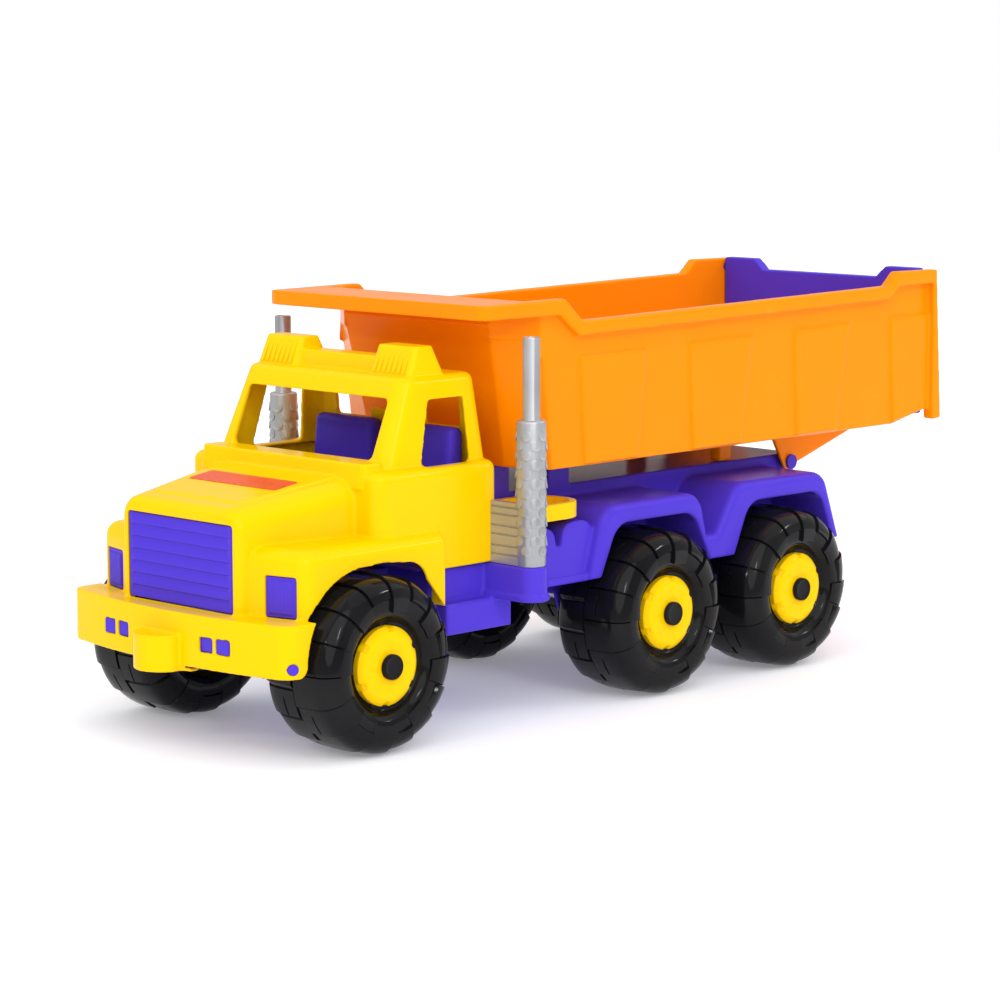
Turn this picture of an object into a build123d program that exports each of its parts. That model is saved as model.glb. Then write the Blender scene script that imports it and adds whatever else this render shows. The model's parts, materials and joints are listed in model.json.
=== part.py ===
from build123d import *
import os

# Toy six-wheeled dump truck, in millimetres. It stands on z = 0, its nose points to -Y and its
# left-hand side is +X. Places along the truck are given as distances behind the front axle.
FRONT_AXLE_Y = -292.5
MIDDLE_AXLE = 323.0
REAR_AXLE = 492.0
WALL = 3.0

# Wheels
WHEEL_R = 70.0
TYRE_INNER_X = 67.5
TYRE_OUTER_X = 144.0
TYRE_WELL_X = 133.5
TYRE_WALL = 4.0
BARREL_R = 24.0
HUB_R = 31.0
HUB_INNER_X = 64.5
HUB_FACE_X = 142.0
AXLE_R = 3.0
AXLE_CLEARANCE = 0.05
AXLE_HALF = 145.0
CAP_R = 10.0
CAP_INNER_X = 142.4
CAP_OUTER_X = 146.8

# Cab
CAB_REAR = 150.0
DOOR_HALF = 112.0
DOOR_BOTTOM_Z = 131.5
WAIST_Z = 213.0
ROOF_Z = 282.0
CAB_FLOOR_Z = 131.0
FENDER_HALF = 121.0
FENDER_FRONT = -85.5
FENDER_CORNER = -66.5
FENDER_SHOULDER = 12.0
FENDER_REAR = 80.0
FENDER_TOP_Z = 163.0
NOSE = -89.0
NOSE_HALF = 70.0
NOSE_TOP_Z = 190.5
HOOD_REAR = 24.0
HOOD_REAR_Z = 207.5
BUMPER_HALF = 129.0
BUMPER_CORNER = -92.0
BUMPER_FRONT = -108.0
BUMPER_REAR = -58.0
BUMPER_BOTTOM_Z = 69.5
BUMPER_TOP_Z = 110.5
GRILLE_HALF = 62.0
GRILLE_BOTTOM_Z = 111.0
GRILLE_TOP_Z = 179.0
GRILLE_BANDS = 7
LAMP_INNER_X = 84.5
LAMP_OUTER_X = 112.0
LAMP_TOP_Z = 143.0
LAMP_SWEEP = 7.0
FOG_Z = 88.6
FOG_X = (49.2, 66.8)
FOG_SIZE = (14.4, 12.0)
PEG_PLACE = (-86.2, 77.5)
PEG_R = 4.0
BOSS_HALF = 22.0
BOSS_FRONT = -129.0
BOSS_BOTTOM_Z = 65.0
BOSS_TOP_Z = 93.5
TOW_HOLE = -116.0
TOW_HOLE_R = 3.0
COWL_TOP_Z = 219.0
HOOD_PANEL = 1.4

# Exhaust stacks
STACK_X = 146.0
STACK = 150.0
STACK_FOOT_Z = 131.0
SHIELD_TOP_Z = 247.0
STACK_TOP_Z = 312.0
SHIELD_R = 11.8
PIPE_R = 6.9
SOCKET_R = 6.0

# Chassis
RAIL_HALF = 60.0
RAIL_TOP_Z = 174.5
RAIL_REAR = 585.0
RAIL_STEP = 158.0
FRONT_RAIL_HALF = 58.0
FRONT_RAIL_TOP_Z = 127.7
MUDGUARD_HALF = 122.0
TANK_HALF = 112.0
TANK_TOP_Z = 151.0
STEP_HALF = 118.0
TRAY_Z = 157.5
TRAY_HEIGHT = 13.5

# Dump bed
BED_REAR = 714.0
BED_WALL = 118.0
BED_RIM = 126.0
FLOOR_Z = 202.0
BED_BOTTOM_Z = 199.0
BED_TOP_Z = 318.0
TUB_REAR = 702.0
TAIL = 653.0
TAIL_Z = 210.0
FLOOR_REAR = 687.0
HINGE = 569.0
HINGE_Z = 168.0
LUG_X = 62.6
LUG_THICK = 4.0
PIN_R = 4.0
RUNNING_GAP = 0.06
GATE = 692.0
GATE_FACE = 688.5
GATE_THICK = 11.0
GATE_PIVOT_Z = 329.0
GATE_HALF = 113.6
GATE_PIN_R = 3.0


def back(distance):
    """Y of a place so far behind the front axle."""
    return FRONT_AXLE_Y + distance


def side_plane(x):
    """Plane facing +X at this x; its own axes are Y and Z."""
    return Plane.YZ.offset(x)


def front_plane(distance):
    """Plane facing the nose, so far behind the front axle; its own axes are X and Z."""
    return Plane.XZ.offset(-back(distance))


def outline(*points):
    """Closed straight-sided outline whose first coordinate is a distance behind the front axle."""
    with BuildLine() as edge:
        Polyline(*[(back(y), z) for y, z in points], close=True)
    make_face(edge.line)


def block(x, y, z, mode=Mode.ADD):
    """Box between two limits on each axis, y as distances behind the front axle."""
    with Locations(((x[0] + x[1]) / 2, back((y[0] + y[1]) / 2), (z[0] + z[1]) / 2)):
        Box(x[1] - x[0], y[1] - y[0], z[1] - z[0], mode=mode)


def both_sides(x, y, z, mode=Mode.ADD):
    """A box on the left and its twin on the right."""
    block(x, y, z, mode)
    block((-x[1], -x[0]), y, z, mode)


def round_corners(low, high, radius):
    """Round the corners of the current sketch that lie between two heights."""
    fillet(vertices().filter_by(lambda corner: low < corner.Y < high), radius)


def save(item, name):
    """Label a finished piece and write it to its own file."""
    item.part.label = name
    export_step(item.part, f"parts/{name}.step")


# ------------------------------------------------------------------ wheels

def make_tyre(name, side, axle):
    """Hollow tyre, open towards the hub: rounded shoulders and a dished well round the hub."""
    shoulder = 12.0
    with BuildPart() as tyre:
        with BuildSketch(Plane.XZ):
            with BuildLine():
                Line((TYRE_WELL_X, BARREL_R), (TYRE_INNER_X, BARREL_R))
                Line((TYRE_INNER_X, BARREL_R), (TYRE_INNER_X, WHEEL_R - shoulder))
                Spline(
                    (TYRE_INNER_X, WHEEL_R - shoulder), (TYRE_INNER_X + 3.5, WHEEL_R - 3.5),
                    (TYRE_INNER_X + shoulder, WHEEL_R), tangents=[(0, 1), (1, 0)],
                )
                Line((TYRE_INNER_X + shoulder, WHEEL_R), (TYRE_OUTER_X - shoulder, WHEEL_R))
                Spline(
                    (TYRE_OUTER_X - shoulder, WHEEL_R), (TYRE_OUTER_X - 3.5, WHEEL_R - 5.5),
                    (TYRE_OUTER_X, WHEEL_R - 16), tangents=[(1, 0), (0, -1)],
                )
                Spline((TYRE_OUTER_X, WHEEL_R - 16), (TYRE_WELL_X, 36.0), tangents=[(0, -1), (-0.9, -0.4)])
                Line((TYRE_WELL_X, 36.0), (TYRE_WELL_X, BARREL_R))
            make_face()
        revolve(axis=Axis.X)
        inner = TYRE_INNER_X + TYRE_WALL
        well = TYRE_WELL_X - TYRE_WALL
        crown = WHEEL_R - TYRE_WALL
        with BuildSketch(Plane.XZ):
            with BuildLine():
                Polyline(
                    (inner, BARREL_R), (inner, crown), (TYRE_OUTER_X - TYRE_WALL, crown),
                    (TYRE_OUTER_X - TYRE_WALL, 46), (well, 38), (well, BARREL_R), close=True,
                )
            make_face()
            fillet(vertices().filter_by(lambda corner: corner.Y > crown - 1), 11)
        revolve(axis=Axis.X, mode=Mode.SUBTRACT)
    place_wheel_piece(tyre, f"{name}_tyre", side, axle)


def make_hub(name, side, axle):
    """Wheel centre: double barrel inside the tyre, notched disc outside with a ring of hexagons."""
    with BuildPart() as hub:
        with BuildSketch(side_plane(HUB_INNER_X)):
            Circle(BARREL_R)
        extrude(amount=TYRE_WELL_X - HUB_INNER_X)
        with BuildSketch(side_plane(TYRE_WELL_X)):
            Circle(HUB_R)
            with PolarLocations(HUB_R + 1.6, 6, start_angle=25):
                Circle(3.2, mode=Mode.SUBTRACT)
        extrude(amount=HUB_FACE_X - TYRE_WELL_X)
        with BuildSketch(side_plane(HUB_FACE_X)):
            Circle(HUB_R - 5)
            Circle(CAP_R + 7, mode=Mode.SUBTRACT)
        extrude(amount=-2.5, mode=Mode.SUBTRACT)
        with BuildSketch(side_plane(HUB_FACE_X - 2.5)):
            with PolarLocations(21.5, 6):
                RegularPolygon(3.6, 6)
        extrude(amount=1.8)
        with BuildSketch(side_plane(HUB_INNER_X)):
            Circle(BARREL_R - WALL)
            Circle(AXLE_R + WALL, mode=Mode.SUBTRACT)
        extrude(amount=TYRE_WELL_X - HUB_INNER_X, mode=Mode.SUBTRACT)
        with BuildSketch(side_plane(HUB_INNER_X)):
            Circle(AXLE_R + AXLE_CLEARANCE)
        extrude(amount=HUB_FACE_X - HUB_INNER_X, mode=Mode.SUBTRACT)
    place_wheel_piece(hub, f"{name}_hub", side, axle)


def make_axle_cap(name, side, axle):
    """Domed push-on cap that keeps the wheel on its axle."""
    with BuildPart() as cap:
        with BuildSketch(side_plane(CAP_INNER_X)):
            Circle(CAP_R)
        extrude(amount=CAP_OUTER_X - CAP_INNER_X)
        fillet(cap.faces().sort_by(Axis.X)[-1].edges(), 2.5)
        with BuildSketch(side_plane(CAP_INNER_X)):
            Circle(AXLE_R)
        extrude(amount=AXLE_HALF - CAP_INNER_X, mode=Mode.SUBTRACT)
    place_wheel_piece(cap, f"{name}_axle_cap", side, axle)


def place_wheel_piece(item, name, side, axle):
    """Turn a piece made on the left to its own side, move it to its axle and write it."""
    placed = item.part if side > 0 else mirror(item.part, about=Plane.YZ)
    with BuildPart() as piece:
        add(Pos(0, back(axle), WHEEL_R) * placed)
    save(piece, name)


def make_axle(name, axle):
    """Straight steel rod."""
    with BuildPart() as rod:
        with BuildSketch(side_plane(-AXLE_HALF)):
            with Locations((back(axle), WHEEL_R)):
                Circle(AXLE_R)
        extrude(amount=2 * AXLE_HALF)
    save(rod, name)


# ------------------------------------------------------------------ cab

def cab_hood(gap, mode):
    """Bonnet, widening and rising from the nose to the screen."""
    bottom = BUMPER_TOP_Z - 12 if mode is Mode.ADD else 0.0
    profiles = []
    for distance, half, top in ((NOSE + gap, NOSE_HALF, NOSE_TOP_Z), (HOOD_REAR, 88.0, HOOD_REAR_Z)):
        with BuildSketch(front_plane(distance)) as shape:
            with Locations((0, (top - gap + bottom) / 2)):
                RectangleRounded(2 * (half - gap), top - gap - bottom, 18 - gap)
        profiles.append(shape.sketch)
    loft(profiles, mode=mode)


def hood_plane(distance, lift):
    """Plane lying on the bonnet's sloping top, or so far above it."""
    slope = (HOOD_REAR_Z - NOSE_TOP_Z) / (HOOD_REAR - NOSE)
    height = NOSE_TOP_Z + slope * (distance - NOSE) + lift
    return Plane((0, back(distance), height), x_dir=(1, 0, 0), z_dir=(0, -slope, 1))


def cab_hood_panel():
    """Slightly raised middle of the bonnet."""
    middle = -26.0
    with BuildSketch(hood_plane(middle, -1.0)) as shape:
        with BuildLine() as edge:
            Polyline((-54, -46), (54, -46), (67, 46), (-67, 46), close=True)
        make_face(edge.line)
        fillet(vertices(), 8)
    extrude(shape.sketch, amount=HOOD_PANEL + 1.0, taper=30)


def cab_cowl():
    """Step up from the bonnet to the foot of the windscreen."""
    with BuildSketch(Plane.XY.offset(HOOD_REAR_Z - 8)) as shape:
        with Locations((0, back(27))):
            RectangleRounded(198, 26, 8)
    extrude(shape.sketch, amount=COWL_TOP_Z - HOOD_REAR_Z + 8, taper=8)


def cab_fenders(gap, mode):
    """Front wings, bowed in plan; the hollow inside steps in under their rounded shoulders."""
    if mode is Mode.ADD:
        bottom = 100.0
        levels = ((0.0, FENDER_TOP_Z),)
    else:
        bottom = 0.0
        levels = ((gap, FENDER_TOP_Z - FENDER_SHOULDER), (gap + 6, FENDER_TOP_Z - gap))
    for inset, top in levels:
        half = FENDER_HALF - inset
        corner = back(FENDER_CORNER + inset)
        rear = back(FENDER_REAR - gap)
        with BuildSketch(Plane.XY.offset(bottom)) as shape:
            with BuildLine():
                Polyline((half, corner), (half, rear), (-half, rear), (-half, corner))
                ThreePointArc((-half, corner), (0, back(FENDER_FRONT + inset)), (half, corner))
            make_face()
            fillet(vertices().group_by(Axis.Y)[0], 14 - inset)
        extrude(shape.sketch, amount=top - bottom, mode=mode)


def cab_body(gap, mode):
    """Door block below the waist line."""
    bottom = DOOR_BOTTOM_Z if mode is Mode.ADD else DOOR_BOTTOM_Z - 2
    front = HOOD_REAR - 8
    with BuildSketch(Plane.XY.offset(bottom)) as shape:
        with Locations((0, back((front + CAB_REAR) / 2))):
            RectangleRounded(2 * (DOOR_HALF - gap), CAB_REAR - front - 2 * gap, 12 - gap)
    extrude(shape.sketch, amount=WAIST_Z - gap - bottom, mode=mode)


def cab_greenhouse(gap, mode):
    """Glass house, leaning in on all sides towards the roof."""
    bottom = WAIST_Z if mode is Mode.ADD else WAIST_Z - 6
    profiles = []
    for z, half, front, rear in ((bottom, 101.0, 34.0, 150.0), (ROOF_Z - gap, 94.0, 62.0, 143.0)):
        with BuildSketch(Plane.XY.offset(z)) as shape:
            with Locations((0, back((front + rear) / 2))):
                RectangleRounded(2 * (half - gap), rear - front - 2 * gap, 14 - gap)
        profiles.append(shape.sketch)
    loft(profiles, mode=mode)


def cab_bumper(gap, mode):
    """Bowed bumper with rounded ends."""
    bottom = BUMPER_BOTTOM_Z if mode is Mode.ADD else BUMPER_BOTTOM_Z - 2
    half = BUMPER_HALF - gap
    corner = back(BUMPER_CORNER + gap)
    rear = back(BUMPER_REAR)
    with BuildSketch(Plane.XY.offset(bottom)) as shape:
        with BuildLine():
            Polyline((half, corner), (half, rear), (-half, rear), (-half, corner))
            ThreePointArc((-half, corner), (0, back(BUMPER_FRONT + gap)), (half, corner))
        make_face()
        fillet(vertices().group_by(Axis.Y)[0], 14 - gap)
    extrude(shape.sketch, amount=BUMPER_TOP_Z - gap - bottom, mode=mode)


def cab_boss(gap, mode):
    """Towing boss that flows out of the middle of the bumper on concave flanks."""
    bottom = BOSS_BOTTOM_Z if mode is Mode.ADD else BOSS_BOTTOM_Z - 2
    half = BOSS_HALF - gap
    tip = BOSS_FRONT + gap
    side = ((half + 8, tip + 25), (half, tip + 18), (half - 7, tip + 6))
    with BuildSketch(Plane.XY.offset(bottom)) as shape:
        with BuildLine():
            right = [(-x, back(y)) for x, y in side]
            left = [(x, back(y)) for x, y in reversed(side)]
            Spline(*right, (0, back(tip)), *left, tangents=[(1, 0), (1, 0)])
            Polyline(left[-1], (half + 8, back(-95)), (-half - 8, back(-95)), right[0])
        make_face()
    extrude(shape.sketch, amount=BOSS_TOP_Z - gap - bottom, mode=mode)


def cab_roof_lights():
    """Two raised light boxes on the roof and the low bar between them."""
    for side in (-1, 1):
        profiles = []
        for z, width, front, rear in ((ROOF_Z - 2, 48.0, 70.0, 112.0), (305.0, 44.0, 80.0, 100.0)):
            with BuildSketch(Plane.XY.offset(z)) as shape:
                with Locations((side * 66.0, back((front + rear) / 2))):
                    RectangleRounded(width, rear - front, 5)
            profiles.append(shape.sketch)
        loft(profiles)
    block((-44, 44), (78, 98), (ROOF_Z - 2, 295.5))


def wheel_arch(x_from, x_to):
    """Opening over one front wheel."""
    with BuildSketch(side_plane(x_from)) as shape:
        with BuildLine():
            Polyline((back(80), 103), (back(80), 40), (back(-84), 40), (back(-82), 69))
            ThreePointArc((back(-82), 69), (back(-75), 72), (back(-72), 80))
            ThreePointArc((back(-72), 80), (back(-50), 127), (back(0), 145))
            Line((back(0), 145), (back(13), 146))
            Line((back(13), 146), (back(44), 143))
            ThreePointArc((back(44), 143), (back(55), 137), (back(60), 128))
            Line((back(60), 128), (back(80), 103))
        make_face()
    extrude(shape.sketch, amount=x_to - x_from, mode=Mode.SUBTRACT)


def cut_windows():
    """Windscreen, two door windows and the rear window with its stepped sill."""
    with BuildSketch(front_plane(20)) as shape:
        with Locations((0, (COWL_TOP_Z + 266) / 2)):
            RectangleRounded(164, 266 - COWL_TOP_Z, 5)
    extrude(shape.sketch, amount=-80, mode=Mode.SUBTRACT)
    with BuildSketch(side_plane(-130)) as shape:
        outline((73, 212), (127.5, 212), (125, 264), (86, 264))
        fillet(vertices(), 4)
    extrude(shape.sketch, amount=260, mode=Mode.SUBTRACT)
    with BuildSketch(front_plane(130)) as shape:
        with Locations((0, 249.5)):
            RectangleRounded(144, 27, 3)
        with Locations((0, 238)):
            Rectangle(64, 11, mode=Mode.SUBTRACT)
    extrude(shape.sketch, amount=-40, mode=Mode.SUBTRACT)


def cut_lamp_openings():
    """Openings that the grille, the headlamps and the fog lamps show through."""
    block((-GRILLE_HALF, GRILLE_HALF), (-100, -80), (GRILLE_BOTTOM_Z, GRILLE_TOP_Z), Mode.SUBTRACT)
    both_sides((LAMP_INNER_X, LAMP_OUTER_X), (-90, -60), (GRILLE_BOTTOM_Z, LAMP_TOP_Z), Mode.SUBTRACT)
    for x in FOG_X:
        width, height = FOG_SIZE
        level = (FOG_Z - height / 2, FOG_Z + height / 2)
        both_sides((x - width / 2, x + width / 2), (-115, -90), level, Mode.SUBTRACT)


def make_cab():
    """Cab moulding: bonnet, wings, doors, roof, bumper and towing boss in one shell."""
    volumes = (cab_fenders, cab_body, cab_hood, cab_greenhouse, cab_bumper, cab_boss)
    with BuildPart() as cab:
        cab_fenders(0.0, Mode.ADD)
        rims = cab.faces().sort_by(Axis.Z)[-1].edges()
        fillet(rims.filter_by(lambda edge: edge.center().Y < back(FENDER_REAR - 1)), FENDER_SHOULDER)
        cab_body(0.0, Mode.ADD)
        fillet(cab.faces().sort_by(Axis.Z)[-1].edges(), 8)
        cab_hood(0.0, Mode.ADD)
        nose = cab.faces().sort_by(Axis.Y)[0].edges()
        fillet(nose.filter_by(lambda edge: edge.center().Z > BUMPER_TOP_Z), 8)
        cab_hood_panel()
        cab_cowl()
        cab_greenhouse(0.0, Mode.ADD)
        fillet(cab.faces().sort_by(Axis.Z)[-1].edges(), 7)
        cab_bumper(0.0, Mode.ADD)
        cab_boss(0.0, Mode.ADD)
        cab_roof_lights()
        for volume in volumes:
            volume(WALL, Mode.SUBTRACT)
        block((-TANK_HALF + 5, TANK_HALF - 5), (75, FENDER_REAR + 1), (90, DOOR_BOTTOM_Z), Mode.SUBTRACT)
        wheel_arch(FRONT_RAIL_HALF + 4, 140)
        wheel_arch(-140, -FRONT_RAIL_HALF - 4)
        cut_windows()
        cut_lamp_openings()
        with BuildSketch(Plane.XY.offset(BOSS_TOP_Z + 1)):
            with Locations((0, back(TOW_HOLE))):
                Circle(TOW_HOLE_R)
        extrude(amount=-WALL - 2, mode=Mode.SUBTRACT)
        with BuildSketch(side_plane(-BUMPER_HALF - 1)):
            with Locations((back(PEG_PLACE[0]), PEG_PLACE[1])):
                Circle(PEG_R)
        extrude(amount=2 * BUMPER_HALF + 2, mode=Mode.SUBTRACT)
    save(cab, "cab_shell")


def make_grille():
    """Grille panel with shallow horizontal bands, set in the nose."""
    gap = 0.3
    pitch = (GRILLE_TOP_Z - GRILLE_BOTTOM_Z - 2 * gap) / GRILLE_BANDS
    with BuildPart() as grille:
        half = GRILLE_HALF - gap
        block((-half, half), (-86.5, -83), (GRILLE_BOTTOM_Z + gap, GRILLE_TOP_Z - gap))
        for band in range(GRILLE_BANDS):
            low = GRILLE_BOTTOM_Z + gap + band * pitch
            with BuildSketch(side_plane(-half)):
                outline((-86.5, low), (-88.5, low + 1), (-87.2, low + pitch - 1), (-86.5, low + pitch))
            extrude(amount=2 * half)
    save(grille, "grille_panel")


def make_headlamp(name, side):
    """Headlamp insert with upright flutes."""
    gap = 0.3
    inner = LAMP_INNER_X + gap
    outer = LAMP_OUTER_X - gap
    front = -75.7
    slope = LAMP_SWEEP / (outer - inner)
    with BuildPart() as lamp:
        with BuildSketch(Plane.XY.offset(GRILLE_BOTTOM_Z + gap)):
            corners = ((inner, front), (outer, front + LAMP_SWEEP), (outer, front + 16), (inner, front + 8))
            with BuildLine():
                Polyline(*[(side * x, back(y)) for x, y in corners], close=True)
            make_face()
            for flute in range(6):
                across = 2.6 + 4.3 * flute
                with Locations((side * (inner + across), back(front - 0.7 + slope * across))):
                    Circle(1.3, mode=Mode.SUBTRACT)
        extrude(amount=LAMP_TOP_Z - GRILLE_BOTTOM_Z - 2 * gap)
    save(lamp, name)


def make_fog_lamps(name, side):
    """Two small lamp blocks on one backing strip behind the bumper."""
    gap = 0.3
    width, height = FOG_SIZE
    with BuildPart() as lamps:
        strip = sorted((side * (FOG_X[0] - width / 2), side * (FOG_X[1] + width / 2)))
        block(strip, (-97, -94.5), (FOG_Z - height / 2 - 2, FOG_Z + height / 2 + 2))
        for x in FOG_X:
            limits = (side * x - width / 2 + gap, side * x + width / 2 - gap)
            block(limits, (-103.5, -97), (FOG_Z - height / 2 + gap, FOG_Z + height / 2 - gap))
    save(lamps, name)


def make_bumper_peg(name, side):
    """Locking peg through the end of the bumper."""
    with BuildPart() as peg:
        with BuildSketch(side_plane(side * (BUMPER_HALF - 12))):
            with Locations((back(PEG_PLACE[0]), PEG_PLACE[1])):
                Circle(PEG_R)
        extrude(amount=side * 13)
        cab_bumper(-0.4, Mode.INTERSECT)
    save(peg, name)


def make_seats():
    """Cab floor tray with two seats moulded on it."""
    with BuildPart() as seats:
        seat = CAB_FLOOR_Z + WALL
        block((-104, 104), (64, 143), (CAB_FLOOR_Z, seat))
        for side in (-1, 1):
            with BuildSketch(side_plane(side * 46.5 - 34)):
                outline((82, seat), (141, seat), (141, 236), (126, 238), (119, 168), (84, 164))
                fillet(vertices().sort_by(Axis.Y)[-2:], 6)
            extrude(amount=68)
        fillet(seats.edges().filter_by(lambda edge: edge.center().Z > 190 and edge.length > 50
                                       and abs(edge.tangent_at(0).Z) > 0.9), 5)
    save(seats, "cab_seats")


def make_label():
    """Plain sticker on the bonnet."""
    with BuildPart() as label:
        with BuildSketch(hood_plane(-23.0, HOOD_PANEL + 0.05)):
            RectangleRounded(102, 25, 2)
        extrude(amount=0.5)
    save(label, "hood_label")


# ------------------------------------------------------------------ chassis

def rail_shell():
    """Inverted channel that runs under the cab and then, taller, under the bed."""
    with BuildSketch(side_plane(-FRONT_RAIL_HALF)) as shape:
        outline(
            (-62, 84), (-55, 56), (55, 56), (70, 84), (270, 84), (280, 56), (540, 56), (RAIL_REAR, 96),
            (RAIL_REAR, RAIL_TOP_Z), (RAIL_STEP, RAIL_TOP_Z),
            (RAIL_STEP, FRONT_RAIL_TOP_Z), (-62, FRONT_RAIL_TOP_Z),
        )
    extrude(shape.sketch, amount=2 * FRONT_RAIL_HALF)
    with BuildSketch(side_plane(-FRONT_RAIL_HALF + WALL)) as shape:
        outline(
            (-62 + WALL, 0), (RAIL_REAR - WALL, 0), (RAIL_REAR - WALL, RAIL_TOP_Z - WALL),
            (RAIL_STEP + WALL, RAIL_TOP_Z - WALL), (RAIL_STEP + WALL, FRONT_RAIL_TOP_Z - WALL),
            (-62 + WALL, FRONT_RAIL_TOP_Z - WALL),
        )
    extrude(shape.sketch, amount=2 * (FRONT_RAIL_HALF - WALL), mode=Mode.SUBTRACT)


def cross_walls():
    """Ribs across the channel."""
    for distance in (-30, 30, 110, 215, 290, 356, 460, 525):
        top = FRONT_RAIL_TOP_Z if distance < RAIL_STEP else RAIL_TOP_Z
        block((-FRONT_RAIL_HALF + 1, FRONT_RAIL_HALF - 1), (distance, distance + WALL), (84, top - 1))


def mudguard_outline():
    """Outer side view of both rear mudguards, which meet in a notch."""
    outline((247, 105), (264, 164), (384, 164), (394, 126), (406, 126), (432, 167), (551, 166), (574, 105))
    round_corners(160, 170, 20)


def mudguard_opening(low_front, top_front, top_rear, low_rear, top):
    """Side view of one wheel opening, with rounded upper corners."""
    outline(
        (low_front, 60), (low_front, 104), (top_front, top), (top_rear, top), (low_rear, 103), (low_rear, 60),
    )
    round_corners(top - 1, top + 1, 22)


def mudguards():
    """One pair of rear mudguards: two arches, each a thin roof with a deep outer flange."""
    width = MUDGUARD_HALF - FRONT_RAIL_HALF
    for side in (-1, 1):
        with BuildSketch(side_plane(side * (FRONT_RAIL_HALF - 1))) as shape:
            mudguard_outline()
        extrude(shape.sketch, amount=side * (width + 1))
    outer = edges().filter_by(lambda edge: abs(edge.center().X) > MUDGUARD_HALF - 0.1)
    fillet(outer.filter_by(lambda edge: edge.center().Z > 106), 7)
    for side in (-1, 1):
        with BuildSketch(side_plane(side * FRONT_RAIL_HALF)) as shape:
            mudguard_opening(259, 279, 375, 397, 148)
        extrude(shape.sketch, amount=side * (width + 1), mode=Mode.SUBTRACT)
        with BuildSketch(side_plane(side * FRONT_RAIL_HALF)) as shape:
            mudguard_opening(428, 448, 545, 563, 149.5)
        extrude(shape.sketch, amount=side * (width + 1), mode=Mode.SUBTRACT)
        with BuildSketch(side_plane(side * FRONT_RAIL_HALF)) as shape:
            outline((268, 103), (284, 159.5), (374, 159.5), (389, 103))
            outline((437, 103), (452, 162), (538, 162), (556, 103))
            round_corners(159, 163, 20)
        extrude(shape.sketch, amount=side * (width - 2 * WALL), mode=Mode.SUBTRACT)


def steps_and_tanks():
    """Running boards, stack collars and twin-hump tanks on both sides."""
    for side in (-1, 1):
        with BuildSketch(side_plane(side * (FRONT_RAIL_HALF - 1))) as shape:
            outline((183, 103), (258, 103), (258, TANK_TOP_Z + 2.5), (223, TANK_TOP_Z + 2.5), (221, 135),
                    (215, 135), (213, TANK_TOP_Z), (183, TANK_TOP_Z))
            round_corners(TANK_TOP_Z - 1, TANK_TOP_Z + 4, 12)
        extrude(shape.sketch, amount=side * (TANK_HALF - FRONT_RAIL_HALF + 1))
        with BuildSketch(Plane.XY.offset(103)) as shape:
            with Locations((side * STACK_X, back(STACK))):
                Circle(13)
            with Locations((side * (STACK_X + FRONT_RAIL_HALF) / 2, back(STACK))):
                Rectangle(STACK_X - FRONT_RAIL_HALF + 1, 26)
        extrude(shape.sketch, amount=STACK_FOOT_Z - 103)
        with BuildSketch(Plane.XY.offset(103)) as shape:
            with Locations((side * STACK_X, back(STACK))):
                Circle(15)
            with Locations((side * (STACK_X + FRONT_RAIL_HALF) / 2, back(STACK))):
                Rectangle(STACK_X - FRONT_RAIL_HALF + 1, 30)
        extrude(shape.sketch, amount=5)
        with BuildSketch(Plane.XY.offset(115)) as shape:
            with Locations((side * STACK_X, back(STACK))):
                Circle(SOCKET_R)
        extrude(shape.sketch, amount=20, mode=Mode.SUBTRACT)
    both_sides((FRONT_RAIL_HALF - 1, TANK_HALF + 3), (162, 258), (103, 109.5))
    both_sides((FRONT_RAIL_HALF - 1, TANK_HALF - 6), (76, 140), (104, 131))
    both_sides((FRONT_RAIL_HALF - 1, STEP_HALF), (84, 157), (79, 104))
    both_sides((FRONT_RAIL_HALF, TANK_HALF - 6 - WALL), (76 + WALL, 140), (70, 131 - WALL), Mode.SUBTRACT)
    both_sides((FRONT_RAIL_HALF, STEP_HALF - WALL), (84 + WALL, 157 - WALL), (70, 104 - WALL), Mode.SUBTRACT)
    both_sides((FRONT_RAIL_HALF, TANK_HALF - WALL), (193, 255), (90, 134 - WALL), Mode.SUBTRACT)


def make_chassis():
    """Chassis moulding: channel, mudguards, steps, tanks, stack collars and bed supports."""
    with BuildPart() as chassis:
        rail_shell()
        cross_walls()
        mudguards()
        steps_and_tanks()
        for distance in (190, 262):
            both_sides((40, 58), (distance, distance + 26), (RAIL_TOP_Z - 1, BED_BOTTOM_Z - 0.4))
        for distance in (0, MIDDLE_AXLE, REAR_AXLE):
            with BuildSketch(side_plane(-RAIL_HALF - 3)):
                with Locations((back(distance), WHEEL_R)):
                    Circle(8)
            extrude(amount=9)
            with BuildSketch(side_plane(RAIL_HALF + 3)):
                with Locations((back(distance), WHEEL_R)):
                    Circle(8)
            extrude(amount=-9)
            with BuildSketch(side_plane(-RAIL_HALF - 4)):
                with Locations((back(distance), WHEEL_R)):
                    Circle(AXLE_R)
            extrude(amount=2 * RAIL_HALF + 8, mode=Mode.SUBTRACT)
        with BuildSketch(side_plane(-RAIL_HALF - 3)):
            with Locations((back(HINGE), HINGE_Z)):
                Circle(PIN_R)
        extrude(amount=2 * RAIL_HALF + 6, mode=Mode.SUBTRACT)
    save(chassis, "chassis_frame")


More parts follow.
